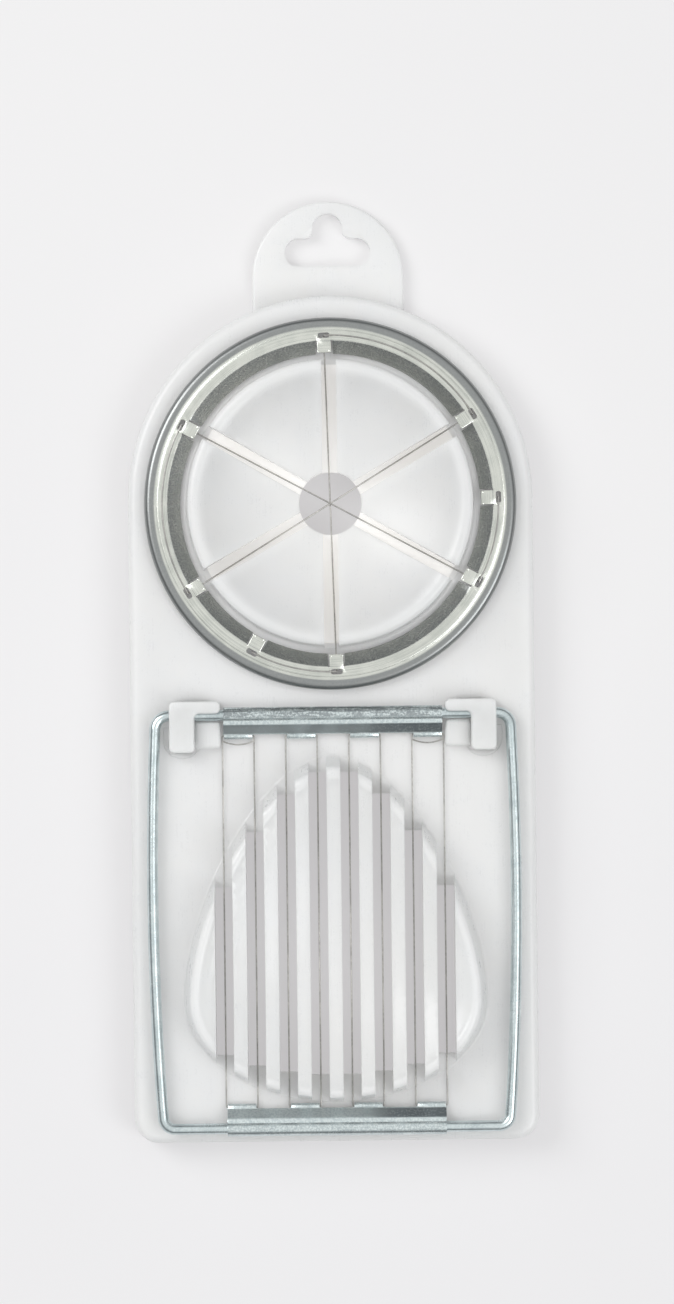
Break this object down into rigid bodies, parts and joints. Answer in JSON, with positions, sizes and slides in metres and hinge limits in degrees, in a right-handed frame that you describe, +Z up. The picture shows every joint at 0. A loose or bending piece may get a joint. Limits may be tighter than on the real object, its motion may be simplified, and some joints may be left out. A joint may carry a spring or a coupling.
{
  "type": "egg slicer",
  "caption": "Moulded base with a slotted teardrop cup under a hinged frame of parallel wires, a slotted round cup inside a loose ring of crossed wires, and a hanging tab.",
  "frame": {"origin": "under the middle of the base's outline, hanging tab included, on the surface that it rests on", "axes": "+Y from the wire frame's free end to the hanging tab, +Z up out of the cups, +X to the right when +Y points away"},
  "size_m": [0.084, 0.1944, 0.022],
  "materials": {
    "white_plastic": "semi-gloss moulded",
    "clip_plastic": "semi-gloss moulded",
    "zinc_plate": "bright zinc plate, faintly mottled",
    "tin_plate": "bright tin plate, pressed and rolled",
    "steel_wire": "drawn wire"
  },
  "bodies": {
    "base": {"base": "white_plastic", "hinge_clip_left": "clip_plastic", "hinge_clip_right": "clip_plastic"},
    "slicing_frame": {"frame_rod": "zinc_plate", "hinge_wire_bar": "zinc_plate", "free_wire_bar": "zinc_plate", "slicing_wire_1": "steel_wire", "slicing_wire_2": "steel_wire", "slicing_wire_3": "steel_wire", "slicing_wire_4": "steel_wire"},
    "wedge_cutter": {"wedge_ring": "tin_plate", "wedge_wire": "steel_wire"}
  },
  "joints": [
    {"name": "frame_hinge", "type": "hinge", "parent": "base", "child": "slicing_frame", "pos_m": [0, -0.00885, 0.0124], "axis": [-1, 0, 0], "range_deg": [0, 100]},
    {"name": "wedge_lift", "type": "slide", "parent": "base", "child": "wedge_cutter", "axis": [0, 0, 1], "range_m": [0, 0.015]}
  ]
}
